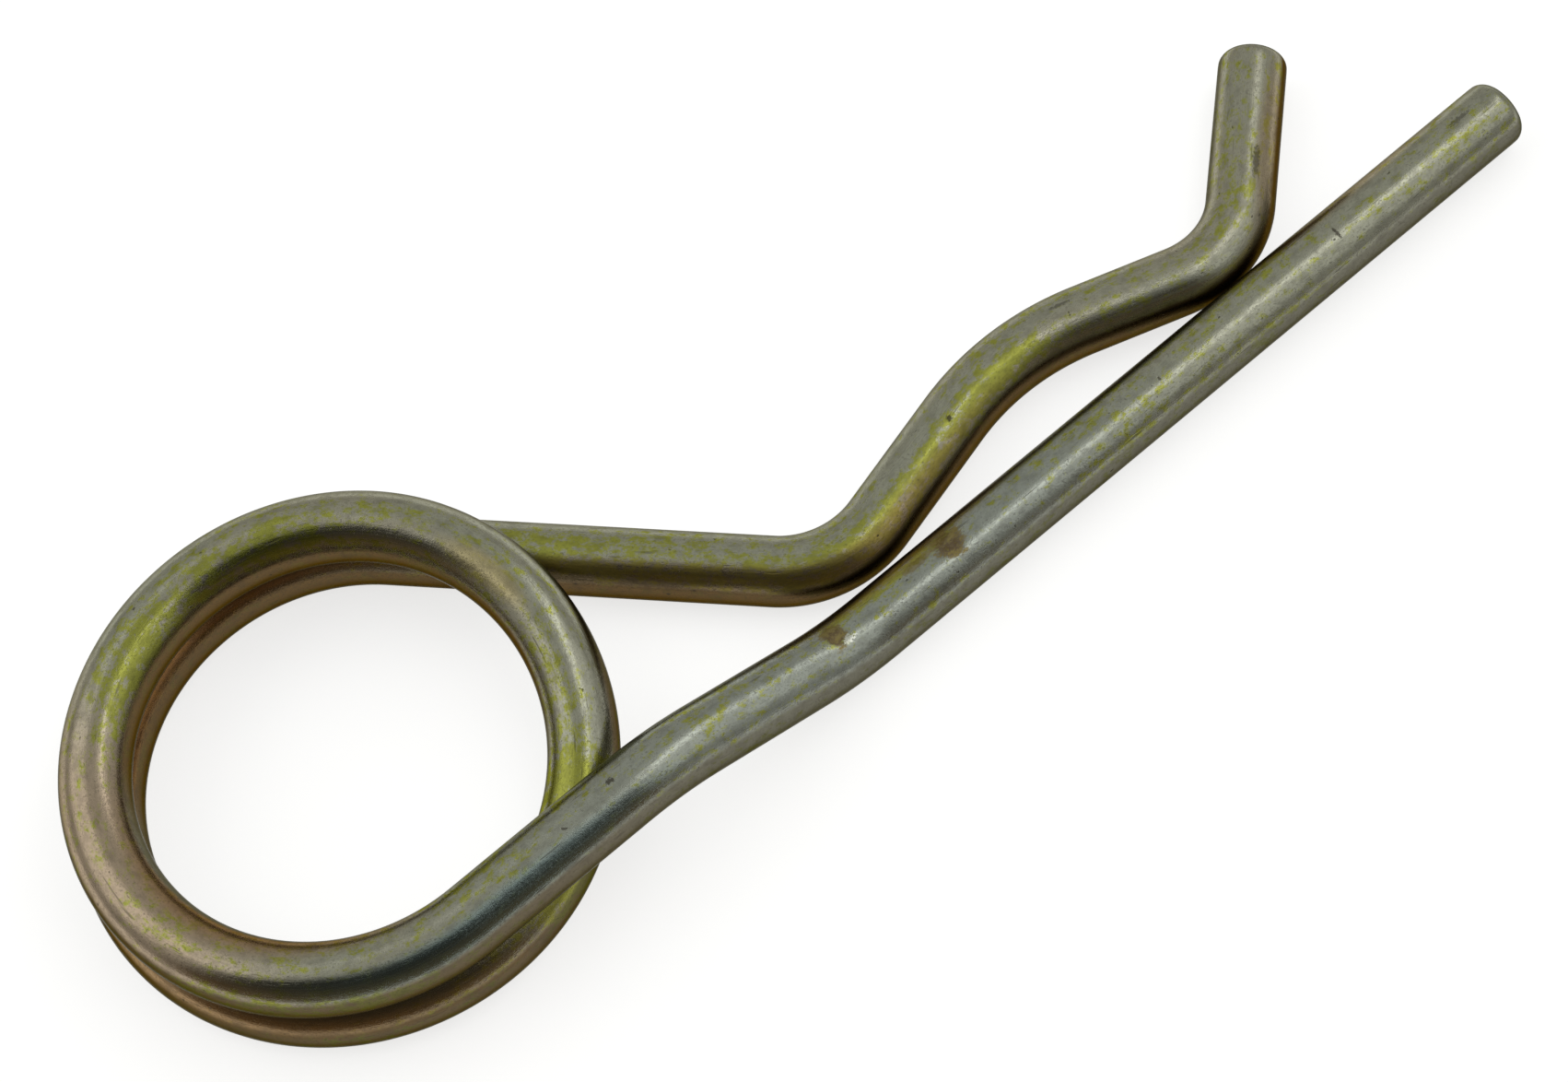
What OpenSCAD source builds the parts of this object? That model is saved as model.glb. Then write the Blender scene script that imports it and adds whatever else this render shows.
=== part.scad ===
// Hitch R clip: one length of round spring wire, bent into a straight leg, a coil of about
// 1.6 turns and a curved leg that snaps over the shaft. It lies flat, the coil's axis upright.
// X runs along the straight leg to its tip, Y towards the curved leg, Z up. Millimetres.

/* [Wire] */
// diameter of the wire
wire_d = 5; // [3:0.1:8]
// rounding of the cut edge at both tips
tip_round = 1; // [0.2:0.1:1.4]

/* [Coil] */
// inside diameter of the upper turn
coil_id = 27.8; // [20:0.1:45]
// how much wider the lower turn is, across
lower_turn_extra = 1.1; // [0:0.1:3]
// air left where the crossing passes down beside the straight leg
turn_gap = 0.2; // [0.1:0.05:0.8]
// bend in each half of the crossing from the upper turn to the lower
crossing_bend = 68; // [60:1:72]

/* [Straight leg] */
// straight length that passes through the shaft
pin_run = 59; // [40:0.5:90]
// slope of the step that brings this leg level with the other
step_angle = 20; // [14:0.5:30]
// bend radius of the step, on the wire's axis
step_r = 18; // [8:0.5:20]
// straight length between the step and the coil
coil_run = 12.9; // [5:0.1:25]

/* [Curved leg] */
// angle to the straight leg where this leg leaves the coil
entry_angle = 46.8; // [38:0.1:58]
// bend radius at the throat, where the legs first come close, on the wire's axis
throat_r = 7.9; // [5:0.1:14]
// air between the legs at the throat
throat_gap = 0.6; // [0.2:0.1:3]
// angle at which the leg rises from the throat
rise_angle = 15.2; // [10:0.1:24]
// straight length of the rise
rise_run = 9.4; // [5:0.1:20]
// bend radius over the shaft, on the wire's axis
belly_r = 20; // [10:0.5:30]
// angle at which the leg falls back to the crest
fall_angle = 19.1; // [13:0.1:26]
// bend radius at the crest, where the leg grips, on the wire's axis
crest_r = 7.4; // [5:0.1:14]
// air between the crest and the straight leg
crest_gap = 0.15; // [0.1:0.05:2]
// angle of the lip, away from the straight leg
lip_angle = 42.9; // [25:0.1:60]
// straight length of the lip
lip_run = 12.4; // [6:0.1:25]

/* [Hidden] */
zinc = [0.72, 0.70, 0.55];
// every other length is this much thinner on radius and runs this far into its neighbours
joint_step = 0.03;
joint_lap = 0.3;

wire_r = wire_d / 2;
upper_r = coil_id / 2 + wire_r;
lower_r = upper_r + lower_turn_extra / 2;
crossing_r = (upper_r + lower_r) / 2;

// The crossing is two equal arcs in tilted planes. The first tips down from level, the second
// tips back to level, and together they drop one pitch. The pitch is such that the slanting
// wire clears the straight leg: pitch * cos(crossing_tilt) = wire_d + turn_gap.
crossing_rise = crossing_r * (1 - cos(crossing_bend));
crossing_tilt = asin((wire_d + turn_gap) / crossing_rise) / 2;
pitch = 2 * crossing_rise * sin(crossing_tilt);
crossing_roll = 2 * atan2(sin(crossing_tilt) * cos(crossing_bend), cos(crossing_tilt));
crossing_sweep = 2 * atan2(sin(crossing_bend) * cos(crossing_tilt), cos(crossing_bend));
upper_sweep = 360 - crossing_sweep;
lower_sweep = 180 + entry_angle;
step_run = (pitch - 2 * step_r * (1 - cos(step_angle))) / sin(step_angle);

// A frame is [point, direction of travel, left, up]. A length is [roll, straight, bend, radius]:
// the wire rolls about itself, then runs straight or bends, left positive and right negative.
function straight(run) = [0, run, 0, 0];
function bend(angle, radius, roll = 0) = [roll, 0, angle, radius];
function rolled(f, a) = [f[0], f[1], f[2] * cos(a) + f[3] * sin(a), f[3] * cos(a) - f[2] * sin(a)];
function fed(f, run) = [f[0] + run * f[1], f[1], f[2], f[3]];
function bent(f, a, r) =
  let (ahead = r * sin(abs(a)), aside = sign(a) * r * (1 - cos(a)))
  [f[0] + ahead * f[1] + aside * f[2], f[1] * cos(a) + f[2] * sin(a), f[2] * cos(a) - f[1] * sin(a), f[3]];
function beyond(f, l) = bent(fed(rolled(f, l[0]), l[1]), l[2], l[3]);
function end_of(lengths, f, i = 0) = i < len(lengths) ? end_of(lengths, beyond(f, lengths[i]), i + 1) : f;

// The wire starts at the straight leg's tip and runs towards the coil, level with the lower turn.
START = [[0, 0, 0], [-1, 0, 0], [0, -1, 0], [0, 0, 1]];
STRAIGHT_LEG = [
  straight(pin_run),
  bend(step_angle, step_r, 90),
  straight(step_run),
  bend(-step_angle, step_r),
  [-90, coil_run, 0, 0]
];
UPPER_COIL = [
  bend(-upper_sweep, upper_r),
  bend(-crossing_bend, crossing_r, crossing_tilt),
  bend(-crossing_bend, crossing_r, -crossing_roll)
];
LOWER_TURN = [bend(-lower_sweep, lower_r, crossing_tilt)];

lower_start = end_of(concat(STRAIGHT_LEG, UPPER_COIL), START)[0];
coil_end = end_of(concat(STRAIGHT_LEG, UPPER_COIL, LOWER_TURN), START)[0];

// The first run ends where the throat bend comes its gap from the straight leg, and the fall
// ends where the crest does.
throat_drop = throat_r * (1 - cos(entry_angle));
entry_run = (coil_end.y - throat_drop - wire_d - throat_gap) / sin(entry_angle);
climb = throat_r * (1 - cos(rise_angle)) + rise_run * sin(rise_angle);
belly_drop = belly_r * (cos(rise_angle) - cos(fall_angle));
crest_drop = crest_r * (1 - cos(fall_angle));
fall_run = (throat_gap - crest_gap + climb - belly_drop - crest_drop) / sin(fall_angle);
CURVED_LEG = [
  straight(entry_run),
  bend(entry_angle + rise_angle, throat_r),
  straight(rise_run),
  bend(-rise_angle - fall_angle, belly_r),
  straight(fall_run),
  bend(fall_angle + lip_angle, crest_r),
  straight(lip_run)
];
WIRE = concat(STRAIGHT_LEG, UPPER_COIL, LOWER_TURN, CURVED_LEG);
last = len(WIRE) - 1;
FRAMES = [for (i = 0, f = START; i <= last; f = beyond(f, WIRE[i]), i = i + 1) rolled(f, WIRE[i][0])];

// The lower turn reaches farthest to the left and away from the straight leg.
x_left = lower_start.x - lower_r - wire_r;
y_far = lower_start.y + 2 * lower_r + wire_r;
y_near = min(0, lower_start.y) - wire_r;

// Places a length's own axes, X along the wire and Y to the left, on its frame.
module on_frame(f) {
  multmatrix([
    [f[1].x, f[2].x, f[3].x, f[0].x],
    [f[1].y, f[2].y, f[3].y, f[0].y],
    [f[1].z, f[2].z, f[3].z, f[0].z]
  ]) children();
}

module rod(from, to, r) {
  translate([from, 0, 0]) rotate([0, 90, 0]) cylinder(h = to - from, r = r, $fn = 64);
}

// A rod whose cut end, at zero, is deburred round its edge.
module tip(to, r) {
  rounding = min(tip_round, 0.9 * r);
  edge = [for (a = [0:15:90]) [r - rounding + rounding * sin(a), rounding - rounding * cos(a)]];
  rotate([0, 90, 0]) rotate_extrude($fn = 64) polygon(concat([[0, 0]], edge, [[r, to], [0, to]]));
}

module arc(angle, radius, r, lap) {
  over = lap / radius * 180 / PI;
  mirror([0, angle < 0 ? 1 : 0, 0])
    translate([0, radius, 0])
    rotate_extrude(angle = abs(angle) + 2 * over, start = -90 - over, $fn = 144)
    translate([radius, 0])
    circle(r = r, $fn = 48);
}

module spring_wire() {
  color(zinc)
  translate([-x_left / 2, -(y_near + y_far) / 2, wire_r])
  for (i = [0:last]) {
    thin = i % 2;
    r = wire_r - thin * joint_step;
    lap = thin * joint_lap;
    run = WIRE[i][1];
    on_frame(FRAMES[i])
    if (i == 0) tip(run + lap, r);
    else if (i == last) translate([run, 0, 0]) mirror([1, 0, 0]) tip(run + lap, r);
    else if (run > 0) rod(-lap, run + lap, r);
    else arc(WIRE[i][2], WIRE[i][3], r, lap);
  }
}

spring_wire();
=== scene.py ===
"""Looks of the hitch R clip: a yellow-zinc spring wire lying on a white floor.

Metres, in the CAD model's frame. X runs along the straight leg to its tip, Y towards the
curved leg, Z up. The wire is swept here along the same bends as in the CAD model, in a finer
mesh with two dents, and its material holds the film, the tints, the stains and the lines,
with painted shade and reflection on the underside and a painted highlight and a painted
bluish reflection in small patches.
"""
import math

import bpy
from mathutils import Matrix, Quaternion, Vector


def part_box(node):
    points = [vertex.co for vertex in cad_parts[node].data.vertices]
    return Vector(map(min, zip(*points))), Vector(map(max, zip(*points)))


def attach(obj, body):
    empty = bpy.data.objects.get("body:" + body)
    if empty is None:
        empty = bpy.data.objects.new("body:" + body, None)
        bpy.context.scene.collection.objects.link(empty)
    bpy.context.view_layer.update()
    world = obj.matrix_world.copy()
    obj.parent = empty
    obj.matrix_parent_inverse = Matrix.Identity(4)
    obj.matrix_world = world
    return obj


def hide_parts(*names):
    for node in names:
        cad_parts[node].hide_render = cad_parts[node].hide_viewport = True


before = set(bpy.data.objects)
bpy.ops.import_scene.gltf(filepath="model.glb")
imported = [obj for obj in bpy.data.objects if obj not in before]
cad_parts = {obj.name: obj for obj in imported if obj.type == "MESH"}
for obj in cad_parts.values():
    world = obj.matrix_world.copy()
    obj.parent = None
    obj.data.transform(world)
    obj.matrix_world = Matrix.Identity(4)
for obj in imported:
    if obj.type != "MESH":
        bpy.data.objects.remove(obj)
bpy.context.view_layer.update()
low = Vector(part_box("spring_wire")[0])

MM = 0.001

# ---- sizes, as in the CAD model ----
WIRE_R = 2.5 * MM
TIP_ROUND = 1.0 * MM
UPPER_R = 13.9 * MM + WIRE_R
LOWER_R = UPPER_R + 0.55 * MM
CROSSING_R = (UPPER_R + LOWER_R) / 2
CROSSING_BEND = math.radians(68)
TURN_GAP = 0.2 * MM
PIN_RUN, COIL_RUN = 59 * MM, 12.9 * MM
STEP_ANGLE, STEP_R = math.radians(20), 18 * MM
ENTRY_ANGLE, THROAT_R, THROAT_GAP = math.radians(46.8), 7.9 * MM, 0.6 * MM
RISE_ANGLE, RISE_RUN, BELLY_R = math.radians(15.2), 9.4 * MM, 20 * MM
FALL_ANGLE, CREST_R, CREST_GAP = math.radians(19.1), 7.4 * MM, 0.15 * MM
LIP_ANGLE, LIP_RUN = math.radians(42.9), 12.4 * MM

# ---- mesh ----
SIDES = 64
RING_STEP = 0.3 * MM
# rings on a cut end's flat face, in shares of the wire's radius, and steps of its rounded edge
FACE_RINGS = (0.12, 0.3, 0.45)
EDGE_STEP = 10

# ---- stretches of the wire, in millimetres from the straight tip ----
BARE_FROM = (28, 46)
COIL_FROM = (69, 104)
ROSY_FROM, ROSY_TO = (102, 116), (126, 140)
LOWER_TURN_FROM, LOWER_TURN_TO = (186, 198), (260, 272)
DULL_FROM = (258, 272)
# depth from a cut end's face to which it is bare, and by which that fades
CUT_TO, CUT_FADE = 0.25, 0.7

# ---- marks on the wire, in millimetres and degrees ----
# distance from the straight tip, turn from the top, half length, half width, depth pressed in
DENTS = [
    (52.0, 1, 1.25, 0.95, 0.05),
    (62.6, 2, 1.20, 0.90, 0.10),
]
# distance from the straight tip, turn from the top, half length, half width, strength
STAINS = [
    (52.0, -6, 1.25, 1.20, 0.85),
    (54.6, -15, 1.20, 0.40, 0.6),
    (62.8, -4, 1.05, 1.05, 0.85),
]
SCRAPES = [
    (62.0, 13, 0.55, 0.28, 0.9),
]
NICKS = [
    (4.0, -10, 1.0, 0.22, 0.6),
    (16.5, 7, 0.13, 0.45, 0.85),
    (81.5, -7, 0.35, 0.22, 0.85),
    (309.7, -32, 0.22, 0.22, 0.85),
    (321.3, -5, 0.9, 0.16, 0.6),
    (340.3, -42, 1.3, 0.28, 0.7),
]
YELLOW_PATCHES = [
    (26.0, -42, 30.0, 2.2, 0.05),
    (57.0, -24, 9.0, 0.9, 0.20),
    (107.0, 72, 12.0, 1.6, 0.18),
    (144.0, -34, 19.0, 1.9, 0.22),
    (152.0, 0, 10.0, 2.6, 0.10),
    (189.0, 5, 8.0, 5.0, 0.34),
    (280.0, -12, 13.0, 2.0, 0.12),
    (300.0, -47, 38.0, 1.7, 0.21),
]
BRONZE_PATCHES = [
    (16.0, -54, 15.0, 1.5, 0.35),
    (57.0, -50, 14.0, 1.7, 0.45),
    (112.0, -62, 19.0, 2.5, 0.7),
    (227.0, 0, 40.0, 9.0, 0.8),
    (288.0, -62, 34.0, 1.5, 0.5),
    (342.0, -66, 9.0, 1.5, 0.4),
]
# red-brown tints in two patches on the coil
RED_BROWN_PATCHES = [
    (112.0, -75, 14.0, 1.4, 0.6),
    (240.0, -62, 34.0, 2.6, 0.8),
]
# a painted highlight: a brighter gold patch on the coil
PAINTED_HIGHLIGHT_PATCHES = [
    (168.5, -20, 5.0, 1.3, 0.6),
]
# a painted bluish reflection in a dark band at the start of the coil
PAINTED_REFLECTION_PATCHES = [
    (93.0, 38, 18.0, 1.4, 0.7),
]

# ---- colours of the finish, and of painted shade, highlight and reflection ----
SILVER = (0.352, 0.375, 0.330, 1)
WARM = (0.376, 0.378, 0.298, 1)
ROSE = (0.445, 0.350, 0.250, 1)
OLIVE = (0.342, 0.354, 0.068, 1)
BRONZE = (0.360, 0.208, 0.085, 1)
RED_BROWN = (0.330, 0.150, 0.050, 1)
# a painted highlight
PAINTED_HIGHLIGHT = (0.560, 0.460, 0.200, 1)
# a painted bluish reflection
PAINTED_REFLECTION = (0.250, 0.355, 0.365, 1)
# painted shade and reflection: darker colours for the underside, where it faces down
PAINTED_SHADE_LEG = (0.150, 0.145, 0.112, 1)
PAINTED_SHADE_COIL = (0.122, 0.078, 0.035, 1)
PAINTED_SHADE_BACK = (0.190, 0.182, 0.138, 1)
PAINTED_SHADE_OLIVE = (0.118, 0.122, 0.036, 1)
STAIN = (0.250, 0.190, 0.045, 1)
STAIN_DARK = (0.120, 0.070, 0.032, 1)
DARK = (0.060, 0.052, 0.040, 1)
SCRAPED = (0.620, 0.630, 0.560, 1)
CUT = (0.150, 0.155, 0.130, 1)
EDGE_TINT = (0.36, 0.35, 0.31, 1)
# the painted shade and reflection on the underside are strongest on the side with this azimuth
PAINTED_SHADE_AZIMUTH = -112

# ---- room, floor and lamps ----
ROOM_TOP = (0.53, 0.535, 0.51, 1)
HORIZON_NEAR_DARK, HORIZON_ELSEWHERE = (0.32, 0.315, 0.30, 1), (0.47, 0.46, 0.43, 1)
DARK_AZIMUTH = -131
DARK_LOW, DARK_HIGH = (0.17, 0.122, 0.066, 1), (0.036, 0.037, 0.033, 1)
FLOOR_COLOUR, FLOOR_GLOW = (0.6, 0.6, 0.6, 1), 0.74
FLOOR_SIZE = 6
LAMP_DISTANCE = 0.5

# ---- the photograph's view, in millimetres and degrees ----
AIM, DISTANCE = (-3.42, -7.36, 2.5), 235.8
AZIMUTH, ELEVATION, LEAN = -112.44, 63.59, -18.95
LENS, SENSOR = 77.61, 36


def crossing():
    """Tilt, rolls and plan sweep of the two arcs that take the wire down one pitch."""
    rise = CROSSING_R * (1 - math.cos(CROSSING_BEND))
    tilt = math.asin((2 * WIRE_R + TURN_GAP) / rise) / 2
    pitch = 2 * rise * math.sin(tilt)
    roll = 2 * math.atan2(math.sin(tilt) * math.cos(CROSSING_BEND), math.cos(tilt))
    sweep = 2 * math.atan2(math.sin(CROSSING_BEND) * math.cos(tilt), math.cos(CROSSING_BEND))
    return tilt, pitch, roll, sweep


def straight(run, roll=0.0):
    return (roll, run, 0.0, 0.0)


def bend(angle, radius, roll=0.0):
    return (roll, 0.0, angle, radius)


class Wire:
    """Walks along the wire: a point, the way it heads, its left and its up."""

    def __init__(self):
        self.point = Vector((0, 0, 0))
        self.ahead, self.left, self.up = Vector((-1, 0, 0)), Vector((0, -1, 0)), Vector((0, 0, 1))
        self.rolled = 0.0
        self.travelled = 0.0

    def roll(self, angle):
        c, s = math.cos(angle), math.sin(angle)
        self.left, self.up = self.left * c + self.up * s, self.up * c - self.left * s
        self.rolled += angle

    def move(self, run, angle, radius):
        """Goes on by a straight run, or by a bend, left positive."""
        if run:
            self.point = self.point + self.ahead * run
            self.travelled += run
            return
        c, s = math.cos(angle), math.sin(angle)
        self.point = (self.point + self.ahead * radius * math.sin(abs(angle))
                      + self.left * math.copysign(radius * (1 - c), angle))
        self.ahead, self.left = self.ahead * c + self.left * s, self.left * c - self.ahead * s
        self.travelled += abs(angle) * radius

    def station(self):
        """Where the wire is now, with axes that don't take part in the rolls."""
        c, s = math.cos(self.rolled), math.sin(self.rolled)
        side, top = self.left * c - self.up * s, self.up * c + self.left * s
        return self.travelled, self.point.copy(), side, top, self.ahead.copy()

    def follow(self, lengths, step):
        """Stations along these lengths, at most a step apart."""
        stations = []
        for roll, run, angle, radius in lengths:
            self.roll(roll)
            parts = max(1, math.ceil((run + abs(angle) * radius) / step))
            for _ in range(parts):
                self.move(run / parts, angle / parts, radius)
                stations.append(self.station())
        return stations


def lengths_of_wire():
    """The bends from the straight tip to the lip's tip."""
    tilt, pitch, roll, sweep = crossing()
    quarter = math.radians(90)
    step_run = (pitch - 2 * STEP_R * (1 - math.cos(STEP_ANGLE))) / math.sin(STEP_ANGLE)
    to_coil_end = [
        straight(PIN_RUN),
        bend(STEP_ANGLE, STEP_R, quarter),
        straight(step_run),
        bend(-STEP_ANGLE, STEP_R),
        straight(COIL_RUN, -quarter),
        bend(sweep - 2 * math.pi, UPPER_R),
        bend(-CROSSING_BEND, CROSSING_R, tilt),
        bend(-CROSSING_BEND, CROSSING_R, -roll),
        bend(-math.pi - ENTRY_ANGLE, LOWER_R, tilt),
    ]
    coil_end = Wire().follow(to_coil_end, 1.0)[-1][1]

    throat_drop = THROAT_R * (1 - math.cos(ENTRY_ANGLE))
    entry_run = (coil_end.y - throat_drop - 2 * WIRE_R - THROAT_GAP) / math.sin(ENTRY_ANGLE)
    climb = THROAT_R * (1 - math.cos(RISE_ANGLE)) + RISE_RUN * math.sin(RISE_ANGLE)
    belly_drop = BELLY_R * (math.cos(RISE_ANGLE) - math.cos(FALL_ANGLE))
    crest_drop = CREST_R * (1 - math.cos(FALL_ANGLE))
    fall_run = (THROAT_GAP - CREST_GAP + climb - belly_drop - crest_drop) / math.sin(FALL_ANGLE)
    return to_coil_end + [
        straight(entry_run),
        bend(ENTRY_ANGLE + RISE_ANGLE, THROAT_R),
        straight(RISE_RUN),
        bend(-RISE_ANGLE - FALL_ANGLE, BELLY_R),
        straight(fall_run),
        bend(FALL_ANGLE + LIP_ANGLE, CREST_R),
        straight(LIP_RUN),
    ]


def dent(along, turn):
    """How far the surface is pressed in at a place on the wire."""
    depth = 0.0
    for at, at_turn, half_length, half_width, pressed in DENTS:
        u = (along / MM - at) / half_length
        v = (turn - math.radians(at_turn)) * WIRE_R / MM / half_width
        away = u * u + v * v
        if away < 1:
            depth += pressed * MM * (1 - away) ** 2
    return depth


def make_wire():
    """The swept wire, each vertex carrying its place on the wire as it was before bending."""
    walker = Wire()
    start = walker.station()
    stations = [start] + walker.follow(lengths_of_wire(), RING_STEP)
    total = stations[-1][0]

    # a ring is (distance along, station, radius): both ends are cut flat and rounded at the edge
    rings = []
    for station in stations:
        from_end = min(station[0], total - station[0])
        if from_end >= TIP_ROUND:
            rings.append((station[0], station, WIRE_R))
    edge = [math.radians(a) for a in range(0, 90, EDGE_STEP)]
    tip = [(0.0, WIRE_R * share) for share in FACE_RINGS] + [
        (TIP_ROUND * (1 - math.cos(a)), WIRE_R - TIP_ROUND + TIP_ROUND * math.sin(a))
        for a in edge]
    rings = ([(d, start, r) for d, r in tip] + rings
             + [(total - d, stations[-1], r) for d, r in reversed(tip)])

    verts, places = [], []
    for along, (travelled, point, side, top, ahead), radius in rings:
        centre = point + ahead * (along - travelled)
        for k in range(SIDES):
            turn = 2 * math.pi * k / SIDES
            signed = turn - 2 * math.pi if turn > math.pi else turn
            r = radius - (dent(along, signed) if radius == WIRE_R else 0.0)
            verts.append(centre + r * (math.cos(turn) * top + math.sin(turn) * side))
            places.append((along / MM, radius / MM * math.cos(turn), radius / MM * math.sin(turn)))
    faces = []
    for i in range(len(rings) - 1):
        for k in range(SIDES):
            a, b = i * SIDES + k, i * SIDES + (k + 1) % SIDES
            faces.append((a, a + SIDES, b + SIDES, b))
    first, last = range(SIDES), range((len(rings) - 1) * SIDES, len(rings) * SIDES)
    faces += [tuple(first), tuple(reversed(last))]

    # the wire fills the box of the CAD solid
    near = Vector(min(v[i] for v in verts) for i in range(3))
    verts = [v + low - near for v in verts]

    mesh = bpy.data.meshes.new("clip_wire")
    mesh.from_pydata(verts, [], faces)
    mesh.validate()
    mesh.shade_smooth()
    place = mesh.attributes.new("place_on_wire", "FLOAT_VECTOR", "POINT")
    place.data.foreach_set("vector", [c for p in places for c in p])
    wire = bpy.data.objects.new("clip_wire", mesh)
    bpy.context.collection.objects.link(wire)
    return wire, total / MM


class Nodes:
    """Short ways to add and join nodes in one tree."""

    def __init__(self, tree):
        self.tree = tree
        tree.nodes.clear()

    def add(self, kind, inputs=None, **settings):
        node = self.tree.nodes.new(kind)
        for name, value in settings.items():
            setattr(node, name, value)
        for key, value in (inputs or {}).items():
            self.feed(node.inputs[key], value)
        return node

    def feed(self, socket, value):
        """Joins a socket to another, or sets it to a constant."""
        if isinstance(value, bpy.types.NodeSocket):
            self.tree.links.new(value, socket)
        else:
            socket.default_value = value

    def math(self, operation, a, b=0.0):
        return self.add("ShaderNodeMath", {0: a, 1: b}, operation=operation).outputs[0]

    def vector(self, operation, a, b=(0.0, 0.0, 0.0)):
        return self.add("ShaderNodeVectorMath", {0: a, 1: b}, operation=operation)

    def scaled(self, vector, scale):
        return self.vector("MULTIPLY", vector, scale).outputs[0]

    def dot(self, vector, fixed):
        return self.vector("DOT_PRODUCT", vector, fixed).outputs["Value"]

    def noise(self, vector, scale, detail=4.0, roughness=0.55, distortion=0.0):
        """Noise between 0 and 1, with a scale for each direction of the vector, per millimetre."""
        node = self.add("ShaderNodeTexNoise", {
            "Vector": self.scaled(vector, scale), "Scale": 1.0, "Detail": detail,
            "Roughness": roughness, "Distortion": distortion})
        return node.outputs["Fac"]

    def ramp(self, value, start, end, before=0.0, after=1.0):
        """Smooth step as a value goes from start to end."""
        return self.add("ShaderNodeMapRange", {
            "Value": value, "From Min": start, "From Max": end, "To Min": before, "To Max": after},
            interpolation_type="SMOOTHSTEP").outputs["Result"]

    def stretch(self, along, start, end):
        """1 on a stretch of the wire, between where it starts to show and where it fades."""
        return self.math("MULTIPLY", self.ramp(along, *start), self.ramp(along, end[1], end[0]))

    def total(self, *values):
        """Sum of several values."""
        result = values[0]
        for value in values[1:]:
            result = self.math("ADD", result, value)
        return result

    def around_zero(self, noise, amount):
        """Noise that swings about zero."""
        return self.math("MULTIPLY", self.math("SUBTRACT", noise, 0.5), amount)

    def distance(self, place, centre, half):
        """How far a place is from a patch's centre, in shares of its half length and half width."""
        offset = self.vector("SUBTRACT", place, centre).outputs[0]
        shares = self.scaled(offset, (1 / half[0], 1 / half[1], 1 / half[1]))
        return self.vector("LENGTH", shares).outputs["Value"]

    def patches(self, place, marks, ragged=None):
        """Patches on the wire, soft, or with an edge made ragged by a noise."""
        result = 0.0
        for at, turn, half_length, half_width, strength in marks:
            away = self.distance(place, on_wire(at, turn), (half_length, half_width))
            if ragged is None:
                patch = self.ramp(away, 1.0, 0.4, 0.0, strength)
            else:
                away = self.math("ADD", away, self.around_zero(ragged, 3.0))
                patch = self.ramp(away, 1.15, 0.7, 0.0, strength)
            result = self.math("MAXIMUM", patch, result)
        return result

    def mix(self, factor, a, b):
        node = self.add("ShaderNodeMix", data_type="RGBA")
        self.feed(node.inputs["Factor"], factor)
        self.feed(node.inputs[6], a)
        self.feed(node.inputs[7], b)
        return node.outputs[2]


def on_wire(at, turn):
    """A place on the surface of the unbent wire, in millimetres."""
    angle = math.radians(turn)
    return (at, WIRE_R / MM * math.cos(angle), WIRE_R / MM * math.sin(angle))


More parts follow.
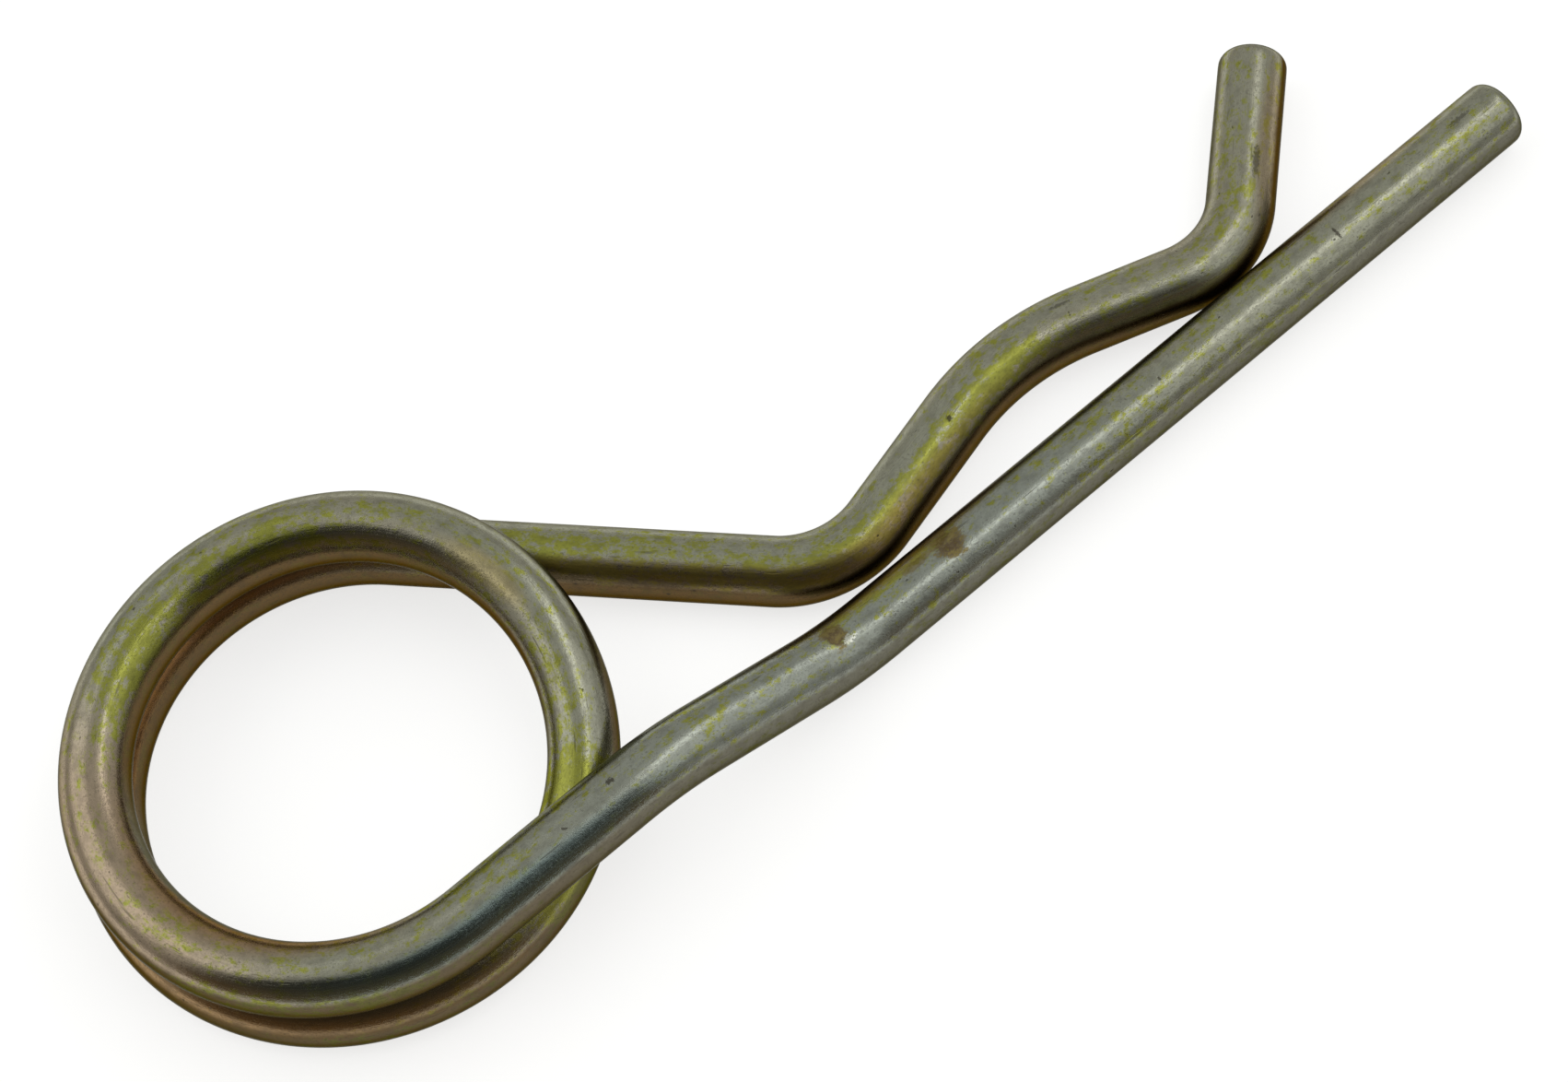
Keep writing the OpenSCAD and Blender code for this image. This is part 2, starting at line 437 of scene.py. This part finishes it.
def zinc_wire(total):
    """Yellow-passivated zinc on drawn wire: flecks of olive film, tints, stains and fine lines,
    with painted shade and reflection on the underside and a painted highlight and reflection in
    patches.
    """
    material = bpy.data.materials.new("zinc_wire")
    material.use_nodes = True
    n = Nodes(material.node_tree)
    place = n.add("ShaderNodeAttribute", attribute_name="place_on_wire").outputs["Vector"]
    split = n.add("ShaderNodeSeparateXYZ", {0: place}).outputs
    along, side = split["X"], split["Z"]
    normal = n.add("ShaderNodeNewGeometry").outputs["Normal"]
    facing_up = n.add("ShaderNodeSeparateXYZ", {0: normal}).outputs["Z"]

    # bare zinc shows on the straight leg, and the coil's left has a rose tint
    coil = n.ramp(along, *COIL_FROM)
    bare = n.math("MULTIPLY", n.ramp(along, *BARE_FROM), n.math("SUBTRACT", 1.0, coil))
    rosy = n.stretch(along, ROSY_FROM, ROSY_TO)
    tint = n.ramp(n.noise(place, (0.035, 0.16, 0.16), 3, 0.5, 0.4), 0.45, 0.70, 0.0, 0.3)
    colour = n.mix(bare, n.mix(n.math("MAXIMUM", tint, rosy), WARM, ROSE), SILVER)

    # the yellow film lies in flecks, thick on the inner side of the bends and thin outside
    clusters = n.noise(place, (0.09, 0.4, 0.4), 3, 0.5)
    flecks = n.noise(place, (1.1, 1.8, 1.8), 6, 0.75)
    film = n.total(n.around_zero(clusters, 0.55), n.around_zero(flecks, 1.8),
                   n.math("MULTIPLY", coil, n.ramp(side, 0.2, 1.4, 0.03, -0.03)),
                   n.patches(place, YELLOW_PATCHES))
    olive = n.ramp(film, 0.02, 0.26)
    colour = n.mix(olive, colour, OLIVE)
    # the gold patch is a painted highlight and the teal patch a painted bluish reflection
    for marks, shade in ((BRONZE_PATCHES, BRONZE), (RED_BROWN_PATCHES, RED_BROWN),
                         (PAINTED_HIGHLIGHT_PATCHES, PAINTED_HIGHLIGHT), (PAINTED_REFLECTION_PATCHES, PAINTED_REFLECTION)):
        colour = n.mix(n.patches(place, marks), colour, shade)

    # painted shade and reflection on the underside, by the way it faces: pale at the back, grey on
    # the straight leg, brown on the coil
    painted_shade = n.ramp(n.math("ADD", facing_up, n.math("MULTIPLY", film, 0.10)), 0.66, 0.40)
    # the lower turn, under the upper one, and the coil's inner side take the brown painted shade
    lower_turn = n.math("MULTIPLY", n.stretch(along, LOWER_TURN_FROM, LOWER_TURN_TO),
                        n.ramp(side, 1.6, 2.4, 1.0, 0.55))
    inner = n.ramp(side, 1.4, -0.6, 0.7, 1.0)
    brown = n.math("MULTIPLY", coil, n.math("MAXIMUM", inner, lower_turn))
    front = n.ramp(n.dot(normal, direction(PAINTED_SHADE_AZIMUTH, 0)), -0.3, 0.3)
    shade_colour = n.mix(front, PAINTED_SHADE_BACK, n.mix(brown, PAINTED_SHADE_LEG, PAINTED_SHADE_COIL))
    # the olive flecks carry on into the painted shade as a darker olive
    flecked = n.math("MULTIPLY", olive, n.ramp(side, -1.6, -0.4, 0.25, 0.7))
    shade_colour = n.mix(flecked, shade_colour, PAINTED_SHADE_OLIVE)
    colour = n.mix(painted_shade, colour, shade_colour)

    # drawing lines, mottling, short dark scratches, pits and a fine grain
    lines = n.noise(place, (0.16, 9.0, 9.0), 3, 0.6)
    grain = n.noise(place, (5.0, 6.5, 6.5), 3, 0.7)
    mottle = n.ramp(n.noise(place, (0.8, 1.3, 1.3), 5, 0.7), 0.42, 0.70, 0.0, 0.34)
    scratches = n.ramp(n.noise(place, (0.35, 3.6, 3.6), 2, 0.5), 0.64, 0.76, 0.0, 0.5)
    pits = n.ramp(n.noise(place, (1.5, 2.2, 2.2), 1, 0.5), 0.765, 0.80, 0.0, 0.75)
    worn = n.ramp(grain, 0.46, 0.78, 0.0, 0.55)
    for mark in (scratches, pits, mottle, n.patches(place, NICKS, grain)):
        worn = n.math("MAXIMUM", worn, mark)
    colour = n.mix(worn, colour, DARK)

    # the tool marks are stained and scraped, and the cut ends are bare
    stained = n.patches(place, STAINS, flecks)
    colour = n.mix(stained, colour, n.mix(n.ramp(flecks, 0.40, 0.56), STAIN, STAIN_DARK))
    colour = n.mix(n.patches(place, SCRAPES, grain), colour, SCRAPED)
    cut = n.math("ADD", n.ramp(along, CUT_FADE, CUT_TO),
                 n.ramp(along, total - CUT_FADE, total - CUT_TO))
    colour = n.mix(n.math("MULTIPLY", cut, 0.8), colour, CUT)

    dull = n.total(n.math("MULTIPLY", olive, 0.05), n.math("MULTIPLY", worn, 0.2),
                   n.math("MULTIPLY", stained, 0.2), n.math("MULTIPLY", cut, 0.1),
                   n.ramp(along, *DULL_FROM, 0.0, 0.07))
    rough = n.math("ADD", n.ramp(lines, 0.3, 0.7, 0.15, 0.23), dull)
    height = n.total(n.math("MULTIPLY", lines, 0.25), n.math("MULTIPLY", flecks, 0.4),
                     n.math("MULTIPLY", grain, 0.45), n.math("MULTIPLY", worn, -0.8))
    bump = n.add("ShaderNodeBump", {"Height": height, "Strength": 0.6, "Distance": 0.025 * MM})

    shader = n.add("ShaderNodeBsdfPrincipled", {
        "Base Color": colour, "Metallic": 1.0, "Roughness": rough, "Normal": bump.outputs["Normal"],
        "Specular Tint": EDGE_TINT})
    n.add("ShaderNodeOutputMaterial", {"Surface": shader.outputs["BSDF"]})
    return material


def white_floor():
    """A pale floor that the camera and reflections see as white, but for the clip's shadow."""
    material = bpy.data.materials.new("white_floor")
    material.use_nodes = True
    n = Nodes(material.node_tree)
    path = n.add("ShaderNodeLightPath").outputs
    seen = n.math("MAXIMUM", path["Is Camera Ray"], path["Is Glossy Ray"])
    seen = n.math("MAXIMUM", seen, path["Is Transmission Ray"])
    matt = n.add("ShaderNodeBsdfDiffuse", {"Color": FLOOR_COLOUR})
    glow = n.add("ShaderNodeEmission", {"Strength": n.math("MULTIPLY", seen, FLOOR_GLOW)})
    both = n.add("ShaderNodeAddShader", {0: matt.outputs[0], 1: glow.outputs[0]})
    n.add("ShaderNodeOutputMaterial", {"Surface": both.outputs[0]})
    return material


def direction(azimuth, elevation):
    """The way from the clip towards an azimuth and elevation, in degrees."""
    a, e = math.radians(azimuth), math.radians(elevation)
    return Vector((math.cos(e) * math.cos(a), math.cos(e) * math.sin(a), math.sin(e)))


def light_room():
    """A softly lit room, paler overhead, with a dark side where the photographer stands."""
    world = bpy.data.worlds.new("room")
    world.use_nodes = True
    bpy.context.scene.world = world
    n = Nodes(world.node_tree)
    way = n.add("ShaderNodeTexCoord").outputs["Generated"]
    height = n.add("ShaderNodeSeparateXYZ", {0: way}).outputs["Z"]
    level = n.vector("NORMALIZE", n.scaled(way, (1, 1, 0))).outputs[0]
    to_dark = n.dot(level, direction(DARK_AZIMUTH, 0))
    dark = n.math("MULTIPLY", n.ramp(to_dark, 0.53, 0.63), n.ramp(height, 0.97, 0.90))
    horizon = n.mix(n.ramp(to_dark, 0.5, -0.6), HORIZON_NEAR_DARK, HORIZON_ELSEWHERE)
    pale_side = n.mix(n.ramp(height, 0.0, 0.8), horizon, ROOM_TOP)
    dark_side = n.mix(n.ramp(height, 0.0, 0.85), DARK_LOW, DARK_HIGH)
    room = n.mix(dark, pale_side, dark_side)
    sky = n.add("ShaderNodeBackground", {"Color": room, "Strength": 1.0})
    n.add("ShaderNodeOutputWorld", {"Surface": sky.outputs[0]})


def softbox(name, first, second, width, brightness):
    """A strip of light beside the clip, between two directions given by azimuth and elevation."""
    ends = [direction(*first) * LAMP_DISTANCE, direction(*second) * LAMP_DISTANCE]
    middle = (ends[0] + ends[1]) / 2
    lamp = bpy.data.lights.new(name, "AREA")
    lamp.shape, lamp.size, lamp.size_y = "RECTANGLE", (ends[1] - ends[0]).length, width
    lamp.energy = math.pi * lamp.size * lamp.size_y * brightness
    back = middle.normalized()
    right = (ends[1] - ends[0]).normalized()
    lit = bpy.data.objects.new(name, lamp)
    lit.matrix_world = Matrix((right, back.cross(right), back)).transposed().to_4x4()
    lit.location = middle
    bpy.context.collection.objects.link(lit)


def photo_camera():
    """The photograph's view, which leans to one side."""
    away = direction(AZIMUTH, ELEVATION)
    camera = bpy.data.objects.new("camera", bpy.data.cameras.new("camera"))
    camera.data.sensor_width = SENSOR
    camera.data.lens = LENS
    camera.data.clip_start = 0.01
    camera.location = Vector(AIM) * MM + away * DISTANCE * MM
    look = away.to_track_quat("Z", "Y") @ Quaternion((0, 0, 1), math.radians(LEAN))
    camera.rotation_euler = look.to_euler()
    bpy.context.collection.objects.link(camera)
    bpy.context.scene.camera = camera


wire, wire_length = make_wire()
wire.data.materials.append(zinc_wire(wire_length))
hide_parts("spring_wire")
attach(wire, "root")

bpy.ops.mesh.primitive_plane_add(size=FLOOR_SIZE, location=(0, 0, low.z))
floor = bpy.context.object
floor.name = "floor"
floor.data.materials.append(white_floor())

photo_camera()
light_room()
softbox("right_softbox", (-78, 48), (-4, 42), 0.38, 0.28)
softbox("strip_light", (-74, 70), (14, 38), 0.085, 0.95)
softbox("left_softbox", (108, 42), (164, 42), 0.38, 0.55)
bpy.context.scene.view_settings.view_transform = "Standard"
